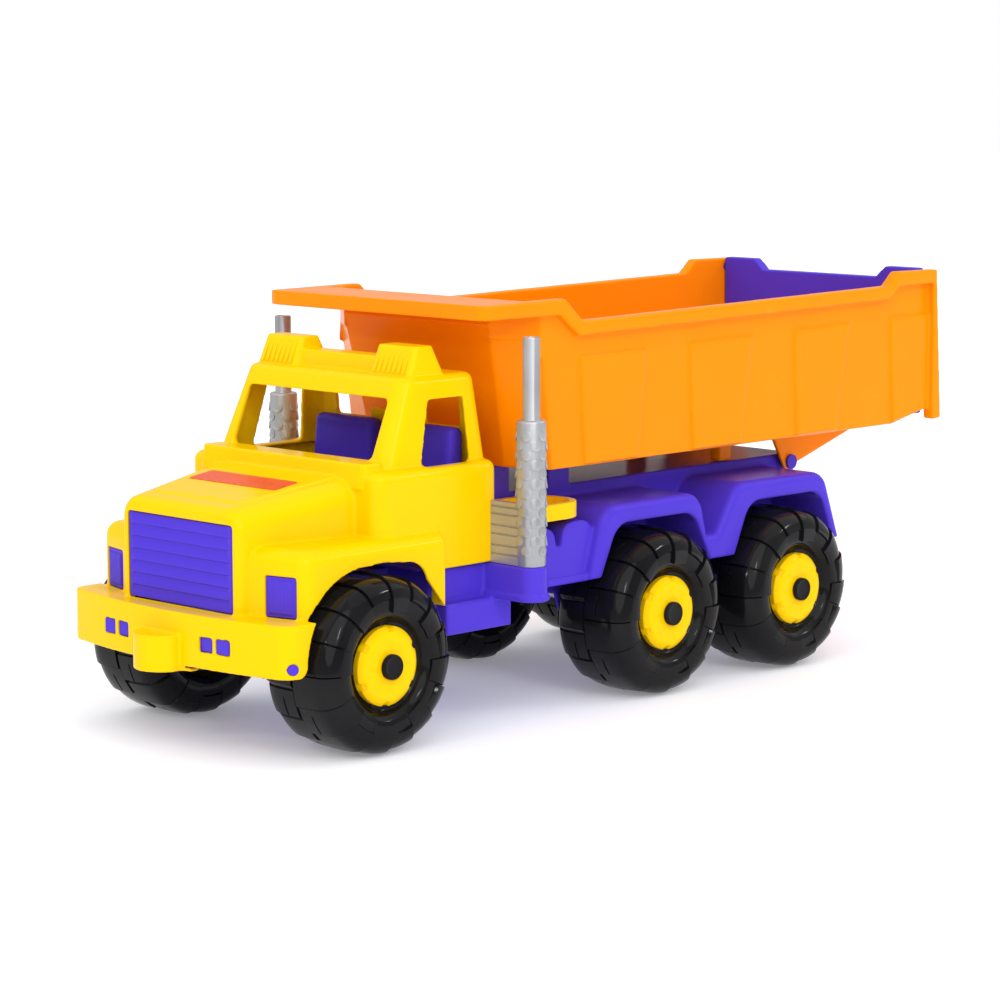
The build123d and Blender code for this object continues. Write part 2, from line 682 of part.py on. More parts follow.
def make_tray(name, side):
    """Open oval tray on top of the tank."""
    with BuildPart() as tray:
        with BuildSketch(Plane.XY.offset(TRAY_Z)):
            with Locations((side * 90, back(209))):
                RectangleRounded(58, 76, 26)
        extrude(amount=TRAY_HEIGHT)
        with BuildSketch(Plane.XY.offset(TRAY_Z + WALL)):
            with Locations((side * 90, back(209))):
                RectangleRounded(44, 62, 19)
        extrude(amount=TRAY_HEIGHT, mode=Mode.SUBTRACT)
        with BuildSketch(Plane.XY.offset(TANK_TOP_Z)):
            with Locations((side * 90, back(194.5))):
                Circle(4.5)
        extrude(amount=TRAY_Z - TANK_TOP_Z)
    save(tray, name)


def make_stack(name, side):
    """Exhaust stack: studded heat shield, thin pipe and the ribbed bracket beside the cab."""
    with BuildPart() as stack:
        for z, radius, height in (
            (116.0, SOCKET_R, 16.0),
            (STACK_FOOT_Z, SHIELD_R, SHIELD_TOP_Z - STACK_FOOT_Z),
            (SHIELD_TOP_Z, PIPE_R, STACK_TOP_Z - SHIELD_TOP_Z),
        ):
            with BuildSketch(Plane.XY.offset(z)):
                with Locations((side * STACK_X, back(STACK))):
                    Circle(radius)
            extrude(amount=height)
        with BuildSketch(Plane.XY.offset(STACK_TOP_Z)):
            with Locations((side * STACK_X, back(STACK))):
                Circle(PIPE_R - 1.6)
        extrude(amount=-30, mode=Mode.SUBTRACT)
        bracket = sorted((side * (DOOR_HALF - 4), side * (STACK_X - 6)))
        block(bracket, (CAB_REAR + 0.4, CAB_REAR + 6), (STACK_FOOT_Z + 0.5, 181))
        for z in (138, 147, 156, 165, 174):
            block(bracket, (CAB_REAR - 0.5, CAB_REAR + 1), (z, z + 2.5))
    save(stack, name)


# ------------------------------------------------------------------ dump bed

def bed_tub(gap, mode):
    """Body of the bed: raked front wall, angled front corners and upright sides."""
    rear = TUB_REAR if mode is Mode.ADD else BED_REAR + 1
    levels = ((BED_BOTTOM_Z + gap, 77.0, 190.0, 204.0, 1.0), (BED_TOP_Z, 85.0, 163.5, 190.0, 0.0))
    profiles = []
    for z, front_half, front, corner, lean in levels:
        side = BED_WALL - lean - gap
        with BuildSketch(Plane.XY.offset(z)) as shape:
            with BuildLine():
                Polyline(
                    (-front_half + gap / 2, back(front + gap)), (front_half - gap / 2, back(front + gap)),
                    (side, back(corner + gap / 2)), (side, back(rear)),
                    (-side, back(rear)), (-side, back(corner + gap / 2)), close=True,
                )
            make_face()
        profiles.append(shape.sketch)
    loft(profiles, mode=mode)


def bed_tail():
    """Floor's rear end, which ramps up towards the tailgate."""
    with BuildSketch(side_plane(-BED_RIM - 1)) as shape:
        outline((TAIL, 190), (TUB_REAR + 1, 190), (TUB_REAR + 1, TAIL_Z), (TAIL, BED_BOTTOM_Z))
    extrude(shape.sketch, amount=2 * BED_RIM + 2, mode=Mode.SUBTRACT)
    with BuildSketch(side_plane(-BED_WALL + 1)) as shape:
        outline(
            (TAIL - 8, BED_BOTTOM_Z), (TAIL, BED_BOTTOM_Z), (FLOOR_REAR, TAIL_Z - 2),
            (FLOOR_REAR, TAIL_Z + 1), (TAIL, FLOOR_Z), (TAIL - 8, FLOOR_Z),
        )
    extrude(shape.sketch, amount=2 * BED_WALL - 2)
    block((-BED_WALL + 1, BED_WALL - 1), (FLOOR_REAR + 0.1, BED_REAR + 1), (190, 215), Mode.SUBTRACT)
    both_sides((BED_WALL - WALL, BED_WALL), (FLOOR_REAR, TUB_REAR), (TAIL_Z + 1, 216))


def bed_rims():
    """Top flange along both sides, raised at the two ends."""
    rim = (
        (228, 306.5), (636, 313.3), (650, 324), (TUB_REAR, 325), (TUB_REAR, 337), (648.5, 337.7),
        (634, 325.4), (232, 318.7), (211, 337.6), (119, 336.7), (119, 324.6), (205, 324.6),
    )
    for side in (-1, 1):
        with BuildSketch(side_plane(side * (BED_WALL - WALL))) as shape:
            outline(*rim)
        extrude(shape.sketch, amount=side * (BED_RIM - BED_WALL + WALL))
        with BuildSketch(side_plane(side * (BED_WALL - WALL))) as shape:
            outline((205, 325), (228, 307), (600, 313), (600, 290), (188, 290), (190, 325))
            outline((600, 313), (636, 313.8), (650, 324.5), (TUB_REAR, 325.5), (TUB_REAR, 290), (600, 290))
        extrude(shape.sketch, amount=side * WALL)


def bed_canopy():
    """Cab guard: a flat shelf ahead of the front wall, with a deep lip round its edge."""
    with BuildSketch(Plane.XY.offset(324.6)) as shape:
        with Locations((0, back(147))):
            Rectangle(2 * BED_RIM, 60)
        fillet(vertices().group_by(Axis.Y)[0], 8)
    extrude(shape.sketch, amount=12.1)
    with BuildSketch(Plane.XY.offset(324.6)) as shape:
        with Locations((0, back(152))):
            Rectangle(2 * BED_RIM - 2 * WALL, 64)
    extrude(shape.sketch, amount=12.1 - WALL, mode=Mode.SUBTRACT)
    with BuildSketch(side_plane(-85)) as shape:
        outline((163.5, 316), (166.5, 316), (172, 324), (176, 336.7), (173, 336.7), (168, 326))
    extrude(shape.sketch, amount=170)
    for side in (-1, 1):
        with BuildSketch(Plane.XY.offset(306)) as shape:
            with BuildLine():
                Polyline(
                    (side * 84, back(163.5)), (side * BED_WALL, back(190)), (side * BED_WALL, back(194)),
                    (side * 84, back(167.5)), close=True,
                )
            make_face()
        extrude(shape.sketch, amount=29)


def bed_side_panels():
    """Raised stiffening panels along both side walls, each wider at its top."""
    panels = ((240, 235, 315, 306), (375, 369, 452, 438), (513, 508, 585, 569), (650, 644, 700, 700))
    foot = BED_BOTTOM_Z + 2
    for side in (-1, 1):
        with BuildSketch(side_plane(side * (BED_WALL - 1.5))) as shape:
            for low_front, top_front, top_rear, low_rear in panels:
                top = 288.5 + (top_front - 190) * 0.0155
                floor = foot if low_rear < TAIL else TAIL_Z
                outline((low_front, foot), (low_rear, floor), (top_rear, top + 1), (top_front, top))
        extrude(shape.sketch, amount=side * 4)


def bed_rear_posts():
    """Upright posts that frame the tailgate, and the holes for its pivots."""
    for side in (-1, 1):
        with BuildSketch(side_plane(side * (BED_WALL - WALL))) as shape:
            outline(
                (TUB_REAR - 1, 202), (TUB_REAR + 1, 200), (BED_REAR, 200.5),
                (BED_REAR - 9, 337), (TUB_REAR - 1, 337),
            )
        extrude(shape.sketch, amount=side * (BED_RIM - BED_WALL + WALL))
        with BuildSketch(side_plane(side * (BED_WALL - WALL - 1))) as shape:
            with Locations((back(GATE), GATE_PIVOT_Z)):
                Circle(GATE_PIN_R + RUNNING_GAP)
        extrude(shape.sketch, amount=side * 8.5, mode=Mode.SUBTRACT)


def bed_hinge_lugs():
    """Deep ribs under the floor, each ending in a lug round a hinge pin."""
    for side in (-1, 1):
        with BuildSketch(side_plane(side * LUG_X)) as shape:
            outline((540, 200), (560, 166), (578, 166), (664, 192), (672, 200))
            with Locations((back(HINGE), HINGE_Z)):
                Circle(9)
                Circle(PIN_R + RUNNING_GAP, mode=Mode.SUBTRACT)
        extrude(shape.sketch, amount=side * LUG_THICK)


def make_bed():
    """Open-topped dump bed."""
    with BuildPart() as bed:
        bed_tub(0.0, Mode.ADD)
        bed_side_panels()
        bed_tub(WALL, Mode.SUBTRACT)
        bed_tail()
        bed_rims()
        bed_canopy()
        bed_rear_posts()
        both_sides((44, 56), (484, 500), (RAIL_TOP_Z + 0.4, BED_BOTTOM_Z + 1))
        bed_hinge_lugs()
    save(bed, "dump_bed")


def make_tailgate():
    """Tailgate: a sheet with a flange all round and upright ribs, hung from two pins near its top."""
    corners = (
        (-GATE_HALF, 205), (GATE_HALF, 205), (GATE_HALF, 338.5), (78, 338.5), (67.5, 328.5),
        (-67.5, 328.5), (-78, 338.5), (-GATE_HALF, 338.5),
    )
    with BuildPart() as gate:
        with BuildSketch(front_plane(GATE_FACE)):
            with BuildLine():
                Polyline(*corners, close=True)
            make_face()
        extrude(amount=-WALL)
        with BuildSketch(front_plane(GATE_FACE)):
            with BuildLine():
                Polyline(*corners, close=True)
            make_face()
            offset(amount=-2.5, mode=Mode.SUBTRACT)
        extrude(amount=-GATE_THICK)
        for x in (-76, -38, 0, 38, 76):
            block((x - 1.5, x + 1.5), (GATE_FACE + WALL - 1, GATE_FACE + GATE_THICK - 1), (206, 327))
        for side in (-1, 1):
            with BuildSketch(side_plane(side * (GATE_HALF - 6))):
                with Locations((back(GATE), GATE_PIVOT_Z)):
                    Circle(GATE_PIN_R)
            extrude(amount=side * 13)
    save(gate, "tailgate")


def make_hinge_pin(name, side):
    """Headed pin through the bed's lug into the chassis."""
    with BuildPart() as pin:
        with BuildSketch(side_plane(side * 50)):
            with Locations((back(HINGE), HINGE_Z)):
                Circle(PIN_R)
        extrude(amount=side * (LUG_X + LUG_THICK + 0.3 - 50))
        with BuildSketch(side_plane(side * (LUG_X + LUG_THICK + 0.3))):
            with Locations((back(HINGE), HINGE_Z)):
                Circle(6.5)
        extrude(amount=side * 2.5)
    save(pin, name)


def main():
    os.makedirs("parts", exist_ok=True)
    make_cab()
    make_grille()
    make_seats()
    make_label()
    make_chassis()
    make_bed()
    make_tailgate()
    for word, side in (("left", 1), ("right", -1)):
        make_headlamp(f"headlamp_{word}", side)
        make_fog_lamps(f"fog_lamps_{word}", side)
        make_bumper_peg(f"bumper_peg_{word}", side)
        make_tray(f"side_tray_{word}", side)
        make_stack(f"exhaust_stack_{word}", side)
        make_hinge_pin(f"bed_hinge_pin_{word}", side)
    for place, axle in (("front", 0.0), ("middle", MIDDLE_AXLE), ("rear", REAR_AXLE)):
        make_axle(f"{place}_axle", axle)
        for word, side in (("left", 1), ("right", -1)):
            make_tyre(f"{place}_{word}", side, axle)
            make_hub(f"{place}_{word}", side, axle)
            make_axle_cap(f"{place}_{word}", side, axle)


main()
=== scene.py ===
import bpy
import bmesh
import json
import math
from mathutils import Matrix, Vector


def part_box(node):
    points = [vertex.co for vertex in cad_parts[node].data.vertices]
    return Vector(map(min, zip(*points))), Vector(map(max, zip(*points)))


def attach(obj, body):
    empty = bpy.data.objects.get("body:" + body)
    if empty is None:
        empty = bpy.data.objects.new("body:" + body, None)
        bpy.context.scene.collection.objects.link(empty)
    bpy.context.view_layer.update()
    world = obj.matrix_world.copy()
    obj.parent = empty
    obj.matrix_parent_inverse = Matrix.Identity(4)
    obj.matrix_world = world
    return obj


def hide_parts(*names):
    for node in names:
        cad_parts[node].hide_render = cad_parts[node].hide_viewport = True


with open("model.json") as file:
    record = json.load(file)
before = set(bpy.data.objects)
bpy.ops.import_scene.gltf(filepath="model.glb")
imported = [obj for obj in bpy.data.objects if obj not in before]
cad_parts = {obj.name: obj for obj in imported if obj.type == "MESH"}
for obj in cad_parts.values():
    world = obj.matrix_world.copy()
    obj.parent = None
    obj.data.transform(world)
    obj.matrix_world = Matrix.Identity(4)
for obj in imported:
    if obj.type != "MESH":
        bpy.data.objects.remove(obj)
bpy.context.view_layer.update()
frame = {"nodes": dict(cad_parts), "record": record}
NODES = frame["nodes"]
BODIES = frame["record"]["behaviour"]["bodies"]
BODY_OF = {node: body for body, members in BODIES.items() for node in members}
SLOT_OF = {part["node"]: part["material_slot"] for part in frame["record"]["subparts"]}

# Lengths are in metres, apart from those said to be in millimetres, which MM scales.
MM = 0.001
SIDES = (("left", 1), ("right", -1))
PLACES = ("front", "middle", "rear")


# ---------------------------------------------------------------- materials

def new_material(name):
    """A material with its node tree and its surface shader."""
    material = bpy.data.materials.new(name)
    material.use_nodes = True
    return material, material.node_tree, material.node_tree.nodes["Principled BSDF"]


def noise_node(tree, scale, detail, stretch=(1, 1, 1)):
    """Noise in the object's own space, stretched along its axes if asked."""
    place = tree.nodes.new("ShaderNodeTexCoord")
    mapping = tree.nodes.new("ShaderNodeMapping")
    mapping.inputs["Scale"].default_value = stretch
    texture = tree.nodes.new("ShaderNodeTexNoise")
    texture.inputs["Scale"].default_value = scale
    texture.inputs["Detail"].default_value = detail
    tree.links.new(place.outputs["Object"], mapping.inputs["Vector"])
    tree.links.new(mapping.outputs["Vector"], texture.inputs["Vector"])
    return texture


def drive_colour(tree, surface, texture, dark, light):
    """Base colour between two shades, led by a texture."""
    ramp = tree.nodes.new("ShaderNodeValToRGB")
    ramp.color_ramp.elements[0].position = 0.35
    ramp.color_ramp.elements[0].color = (*dark, 1)
    ramp.color_ramp.elements[1].position = 0.65
    ramp.color_ramp.elements[1].color = (*light, 1)
    tree.links.new(texture.outputs["Fac"], ramp.inputs["Fac"])
    tree.links.new(ramp.outputs["Color"], surface.inputs["Base Color"])


def drive_roughness(tree, surface, texture, low, high):
    """Roughness between two limits, led by a texture."""
    spread = tree.nodes.new("ShaderNodeMapRange")
    spread.inputs["From Min"].default_value = 0.3
    spread.inputs["From Max"].default_value = 0.7
    spread.inputs["To Min"].default_value = low
    spread.inputs["To Max"].default_value = high
    tree.links.new(texture.outputs["Fac"], spread.inputs["Value"])
    tree.links.new(spread.outputs["Result"], surface.inputs["Roughness"])


def drive_bump(tree, surface, texture, strength, distance):
    """Fine relief, led by a texture."""
    bump = tree.nodes.new("ShaderNodeBump")
    bump.inputs["Strength"].default_value = strength
    bump.inputs["Distance"].default_value = distance
    tree.links.new(texture.outputs["Fac"], bump.inputs["Height"])
    tree.links.new(bump.outputs["Normal"], surface.inputs["Normal"])


def moulded_plastic(name, dark, light, rough, pebble=0.05, metal=0.0, gloss=0.07):
    """Injection-moulded plastic: faint flow marks, uneven gloss and a fine pebbled skin."""
    material, tree, surface = new_material(name)
    flow = noise_node(tree, scale=14.0, detail=3.0)
    skin = noise_node(tree, scale=420.0, detail=2.0)
    drive_colour(tree, surface, flow, dark, light)
    drive_roughness(tree, surface, flow, *rough)
    drive_bump(tree, surface, skin, strength=pebble, distance=0.2 * MM)
    surface.inputs["Metallic"].default_value = metal
    surface.inputs["Specular IOR Level"].default_value = gloss
    return material


def drawn_steel(name):
    """Bright steel with drawing lines along its length."""
    material, tree, surface = new_material(name)
    lines = noise_node(tree, scale=60.0, detail=4.0, stretch=(1, 40, 40))
    drive_colour(tree, surface, lines, dark=(0.42, 0.42, 0.44), light=(0.62, 0.62, 0.64))
    drive_roughness(tree, surface, lines, low=0.22, high=0.4)
    drive_bump(tree, surface, lines, strength=0.15, distance=0.1 * MM)
    surface.inputs["Metallic"].default_value = 1.0
    return material


def printed_film(name):
    """Plain red sticker with a slightly uneven print."""
    material, tree, surface = new_material(name)
    print_grain = noise_node(tree, scale=260.0, detail=3.0)
    drive_colour(tree, surface, print_grain, dark=(0.68, 0.045, 0.008), light=(0.86, 0.085, 0.012))
    drive_roughness(tree, surface, print_grain, low=0.28, high=0.4)
    drive_bump(tree, surface, print_grain, strength=0.08, distance=0.1 * MM)
    return material


MATERIALS = {
    "yellow_plastic": moulded_plastic(
        "yellow_plastic", dark=(0.955, 0.57, 0.0), light=(0.965, 0.58, 0.0), rough=(0.16, 0.22),
    ),
    "orange_plastic": moulded_plastic(
        "orange_plastic", dark=(0.975, 0.262, 0.0), light=(0.985, 0.27, 0.0), rough=(0.2, 0.28),
    ),
    "purple_plastic": moulded_plastic(
        "purple_plastic", dark=(0.078, 0.04, 0.58), light=(0.082, 0.042, 0.6), rough=(0.2, 0.28),
    ),
    "silver_plastic": moulded_plastic(
        "silver_plastic", dark=(0.34, 0.35, 0.37), light=(0.45, 0.46, 0.48), rough=(0.28, 0.36),
        pebble=0.03, metal=0.55, gloss=0.5,
    ),
    "black_tyre": moulded_plastic(
        "black_tyre", dark=(0.004, 0.004, 0.005), light=(0.009, 0.009, 0.01), rough=(0.08, 0.14),
        pebble=0.03, gloss=0.14,
    ),
    "black_plastic": moulded_plastic(
        "black_plastic", dark=(0.008, 0.008, 0.009), light=(0.016, 0.016, 0.017), rough=(0.3, 0.42),
    ),
    "steel_rod": drawn_steel("steel_rod"),
    "red_label": printed_film("red_label"),
}


def paint(piece, slot):
    """Give a piece its one material."""
    piece.data.materials.clear()
    piece.data.materials.append(MATERIALS[slot])


# ---------------------------------------------------------------- mesh helpers

# Points closer than this become one.
MERGE = 1e-6
# Radius, in millimetres, of the rings that end a turned shape: a pinhole too small to see.
TIP = 0.001


def stand_in(piece, node):
    """Put a finished piece on its CAD node's body, in its finish, and hide the node."""
    paint(piece, SLOT_OF[node])
    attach(piece, BODY_OF[node])
    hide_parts(node)


def mesh_piece(name, points, faces, smooth_angle=35):
    """An object from points and faces, with its normals turned outwards."""
    mesh = bpy.data.meshes.new(name)
    mesh.from_pydata(points, [], faces)
    work = bmesh.new()
    work.from_mesh(mesh)
    bmesh.ops.remove_doubles(work, verts=work.verts, dist=MERGE)
    bmesh.ops.recalc_face_normals(work, faces=work.faces)
    limit = math.radians(smooth_angle)
    for face in work.faces:
        face.smooth = True
    for edge in work.edges:
        edge.smooth = edge.is_manifold and edge.calc_face_angle(0.0) < limit
    work.to_mesh(mesh)
    work.free()
    piece = bpy.data.objects.new(name, mesh)
    bpy.context.scene.collection.objects.link(piece)
    return piece


def grid_faces(rows, columns, start=0, wrap_rows=False):
    """Quads of a grid whose columns close into a ring, and whose rows may too."""
    faces = []
    for row in range(rows if wrap_rows else rows - 1):
        above = (row + 1) % rows
        for column in range(columns):
            beside = (column + 1) % columns
            faces.append((
                start + row * columns + column, start + row * columns + beside,
                start + above * columns + beside, start + above * columns + column,
            ))
    return faces


def softened(node, name, voxel, keep):
    """A copy of a CAD node with the rounded edges of a real moulding."""
    piece = bpy.data.objects.new(name, NODES[node].data.copy())
    bpy.context.scene.collection.objects.link(piece)
    skin = piece.modifiers.new("skin", "REMESH")
    skin.mode = "VOXEL"
    skin.voxel_size = voxel
    skin.use_smooth_shade = True
    ease = piece.modifiers.new("ease", "SMOOTH")
    ease.factor = 0.5
    ease.iterations = 4
    thin = piece.modifiers.new("thin", "DECIMATE")
    thin.ratio = keep
    graph = bpy.context.evaluated_depsgraph_get()
    finished = bpy.data.meshes.new_from_object(piece.evaluated_get(graph))
    piece.modifiers.clear()
    piece.data = finished
    stand_in(piece, node)


def smooth_step(low, high, value):
    """0 below low, 1 above high and a soft rise between."""
    t = min(max((value - low) / (high - low), 0.0), 1.0)
    return t * t * (3 - 2 * t)


# ---------------------------------------------------------------- wheels, with sizes in millimetres

TREAD_BLOCKS = 16
TREAD_HEIGHT = 2.8
# Half of the tyre's section without its tread, from the crown outwards and in to the hub: distance from
# the tyre's middle plane, and radius.
SECTION = (
    (0, 67.2), (12, 67.2), (22, 66.7), (28, 65.4), (32.2, 62.8), (35.2, 58.9), (36.8, 54), (37.2, 48),
    (36.4, 42.5), (33.5, 38.5), (29.5, 36), (27.9, 33.5), (27.7, 30), (27.7, 24.1),
)
# Lengths along that section where the mesh has rows of points, close together at the blocks' edges.
STATIONS = (
    0, 0.6, 0.9, 4, 8, 12.3, 12.7, 13.5, 13.9, 17, 20, 22.5, 25, *range(27, 44, 2), 44.6, 45.4, 47.5,
    50, 52.5, 54.6, 55.4, 57, 58.5, *range(60, 77, 2), 79,
)
# Where a block's outline needs points, as shares of the pitch between blocks.
STOPS = (0.0, 0.012, 0.05, 0.062, 0.12, 0.25, 0.38, 0.5, 0.512, 0.55, 0.562, 0.62, 0.75, 0.88, 0.94, 0.985)
# Short and long blocks alternate, and these are the lengths along the section where they end.
SHORT_BLOCK_END = 45.0
LONG_BLOCK_END = 55.0
CENTRE_GROOVE_HALF = 0.8
GAP_SHARE = 0.045
# A long block has a narrow slot that runs round the tyre: its place along the section, its share of the
# pitch, and how much of the block's height is left in it.
SLOT_BAND = (12.5, 13.7)
SLOT_SPAN = (0.3, 0.9)
SLOT_FLOOR = 0.25
# A block rises like a saw tooth from this share of its height to the whole.
LOW_EDGE = 0.35


def round_axle(axle, x, radius, angle):
    """A point at x metres across the truck, and at a radius in millimetres and an angle about an axle."""
    return (x, axle.y + radius * MM * math.cos(angle), axle.z + radius * MM * math.sin(angle))


def curve_through(keys, steps):
    """Points on a smooth curve through the keys, closely spaced."""
    found = []
    for index in range(len(keys) - 1):
        before = Vector(keys[max(index - 1, 0)])
        start = Vector(keys[index])
        end = Vector(keys[index + 1])
        after = Vector(keys[min(index + 2, len(keys) - 1)])
        for step in range(steps):
            t = step / steps
            found.append(0.5 * (
                2 * start + (end - before) * t + (2 * before - 5 * start + 4 * end - after) * t ** 2
                + (3 * start - before - 3 * end + after) * t ** 3
            ))
    found.append(Vector(keys[-1]))
    return found


def at_length(path, length):
    """Point and outward normal at a length along a path of close points."""
    gone = 0.0
    for here, there in zip(path, path[1:]):
        step = (there - here).length
        if gone + step >= length and step > 0:
            along = (there - here) / step
            return here + along * (length - gone), Vector((-along.y, along.x))
        gone += step
    along = (path[-1] - path[-2]).normalized()
    return path[-1], Vector((-along.y, along.x))


def block_height(turn, station, half):
    """Height of the tread over the carcass; turn counts blocks round the tyre."""
    turn += 0.5 * (half < 0)
    share = turn % 1.0
    long_block = int(turn) % 2
    end = LONG_BLOCK_END if long_block else SHORT_BLOCK_END
    if station > end or station < CENTRE_GROOVE_HALF or share < GAP_SHARE:
        return 0.0
    height = TREAD_HEIGHT * (LOW_EDGE + (1 - LOW_EDGE) * share)
    in_slot = SLOT_BAND[0] < station < SLOT_BAND[1] and SLOT_SPAN[0] < share < SLOT_SPAN[1]
    return height * SLOT_FLOOR if long_block and in_slot else height


def make_tyre(place, word, side):
    """Glossy tyre: stepped tread blocks that run over the shoulder, and a deep well round the hub."""
    node = f"{place}_{word}_tyre"
    low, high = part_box(node)
    middle = (low + high) / 2
    path = curve_through(SECTION, 12)
    turns = [block + stop for block in range(TREAD_BLOCKS) for stop in STOPS]
    rows = [(station, 1) for station in reversed(STATIONS)] + [(station, -1) for station in STATIONS[1:]]
    points = []
    for station, half in rows:
        spot, normal = at_length(path, station)
        for turn in turns:
            height = block_height(turn, station, half)
            across = (spot.x + normal.x * height) * half
            radius = spot.y + normal.y * height
            angle = 2 * math.pi * turn / TREAD_BLOCKS
            points.append(round_axle(middle, middle.x + side * across * MM, radius, angle))
    faces = grid_faces(len(rows), len(turns), wrap_rows=True)
    stand_in(mesh_piece(f"tyre_{place}_{word}", points, faces, smooth_angle=40), node)


HUB_COLUMNS = 216
HUB_BORE = 3.2
HUB_BARREL = 24.0
HUB_RIM = 31.0
# How far the rim reaches back from the hub's face.
RIM_DEPTH = 8.6
# Radii of the rows of points on a hub's face, close together where its rim rolls back.
HUB_RADII = (
    HUB_BORE, *(10 + 0.75 * step for step in range(22)), 26.8, 27.8, 28.8, 29.6, 30.3, 30.8, HUB_RIM,
)
ROLL_START = 24.5
ROLL = 0.085
NOTCHES = 6
NOTCH_START = math.radians(25)
NOTCH_BITE = 1.1
NOTCH_DROP = 1.5
HEXAGONS = 8
HEXAGON_RING = 19.2
HEXAGON_HEIGHT = 0.35


def hexagon_relief(radius, angle):
    """Low hexagons set in a ring, 0 to 1."""
    pitch = 2 * math.pi / HEXAGONS
    nearest = round(angle / pitch) * pitch
    u = radius * math.cos(angle - nearest) - HEXAGON_RING
    v = radius * math.sin(angle - nearest)
    reach = max(abs(u), abs(u) * 0.5 + abs(v) * 0.866)
    return 1 - smooth_step(6.0, 6.6, reach)


def hub_face(radius, angle):
    """Radius and drop of a point on a hub's face, which is patterned, notched and rolled at its rim."""
    turn = (angle - NOTCH_START) / (2 * math.pi / NOTCHES)
    degrees_off = abs((turn + 0.5) % 1.0 - 0.5) * 360 / NOTCHES
    notch = 1 - smooth_step(4.6, 6.2, degrees_off)
    spread = radius - notch * NOTCH_BITE * smooth_step(29.0, 30.8, radius)
    drop = ROLL * max(radius - ROLL_START, 0) ** 2
    drop += notch * NOTCH_DROP * smooth_step(26.6, 27.6, radius)
    drop += HEXAGON_HEIGHT * (1 - hexagon_relief(radius, angle - NOTCH_START))
    return spread, drop


def make_hub(place, word, side):
    """Yellow wheel centre: rolled rim with six notches, faint hexagons and the barrel behind."""
    node = f"{place}_{word}_hub"
    low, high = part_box(node)
    middle = (low + high) / 2
    inner, face = min(abs(low.x), abs(high.x)), max(abs(low.x), abs(high.x))
    well = face - RIM_DEPTH * MM
    angles = [2 * math.pi * column / HUB_COLUMNS for column in range(HUB_COLUMNS)]
    points = []
    for radius in HUB_RADII:
        for angle in angles:
            spread, drop = hub_face(radius, angle)
            points.append(round_axle(middle, side * (face - drop * MM), spread, angle))
    barrel = ((well, HUB_RIM), (well, HUB_BARREL), (inner, HUB_BARREL), (inner, HUB_BORE))
    for x, radius in barrel:
        points += [round_axle(middle, side * x, radius, angle) for angle in angles]
    faces = grid_faces(len(HUB_RADII) + len(barrel), HUB_COLUMNS, wrap_rows=True)
    stand_in(mesh_piece(f"hub_{place}_{word}", points, faces), node)


CAP_COLUMNS = 64
# The cap's section: distance out from the truck's middle plane, and radius.
CAP_PROFILE = (
    (142.3, TIP), (142.3, 9.9), (145.2, 9.9), (146.1, 9.6), (146.6, 9.0), (146.5, 8.2), (146.1, 7.7),
    (145.8, 6.4), (145.6, 3.5), (145.6, TIP),
)


def make_axle_cap(place, word, side):
    """Black push-on cap with a rounded rim and a dished middle."""
    node = f"{place}_{word}_axle_cap"
    low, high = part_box(node)
    middle = (low + high) / 2
    points = []
    for x, radius in CAP_PROFILE:
        for column in range(CAP_COLUMNS):
            points.append(round_axle(middle, side * x * MM, radius, 2 * math.pi * column / CAP_COLUMNS))
    faces = grid_faces(len(CAP_PROFILE), CAP_COLUMNS)
    stand_in(mesh_piece(f"cap_{place}_{word}", points, faces), node)


# ---------------------------------------------------------------- relief panels of the nose

def relief_panel(name, low, high, columns, rows, relief, sweep=(0.0, 0.0)):
    """A closed panel facing forwards whose front follows relief(across, up, width, height).

    relief takes and gives millimetres. sweep moves the panel's right and left ends back, in metres.
    """
    width, height = (high.x - low.x) / MM, (high.z - low.z) / MM
    points = []
    for row in range(rows + 1):
        up = row / rows * height
        for column in range(columns + 1):
            share = column / columns
            across = share * width
            out = relief(across, up, width, height)
            back = sweep[0] + share * (sweep[1] - sweep[0])
            points.append((low.x + across * MM, low.y + back - out * MM, low.z + up * MM))
    wide = columns + 1
    faces = []
    for row in range(rows):
        for first in range(row * wide, row * wide + columns):
            faces.append((first, first + 1, first + wide + 1, first + wide))
    border = list(range(wide))
    border += [row * wide + columns for row in range(1, rows + 1)]
    border += [rows * wide + column for column in range(columns - 1, -1, -1)]
    border += [row * wide for row in range(rows - 1, 0, -1)]
    start = len(points)
    points += [(points[index][0], high.y, points[index][2]) for index in border]
    count = len(border)
    faces += [(border[i], start + i, start + (i + 1) % count, border[(i + 1) % count]) for i in range(count)]
    faces.append(tuple(range(start, start + count)))
    return mesh_piece(name, points, faces, smooth_angle=50)


def edge_fall(across, up, width, height, radius):
    """How far a rounded rim falls back near the panel's edges."""
    near = min(across, width - across, up, height - up)
    return radius * (1 - math.sqrt(max(0.0, 1 - (1 - min(near / radius, 1)) ** 2)))


# Sizes of the reliefs are in millimetres.
GRILLE_BANDS = 7
BAND_RISE = 1.5
GRILLE_BORDER_RISE = 0.9


def grille_relief(across, up, width, height):
    """Bands that each lean out towards their lower edge, inside a narrow upright border."""
    share = (up / height * GRILLE_BANDS) % 1.0
    band = BAND_RISE * (1 - smooth_step(0.1, 0.95, share)) * smooth_step(0.0, 0.1, share)
    field = smooth_step(4.2, 4.8, min(across, width - across))
    relief = 0.2 + band * field + GRILLE_BORDER_RISE * (1 - field)
    return relief - edge_fall(across, up, width, height, radius=1.2)


FLUTE_PITCH = 3.2
FLUTE_RISE = 0.45
LAMP_RISE = 0.9
# How far a headlamp's outer end lies behind its inner end, in metres.
LAMP_SWEEP = 0.007


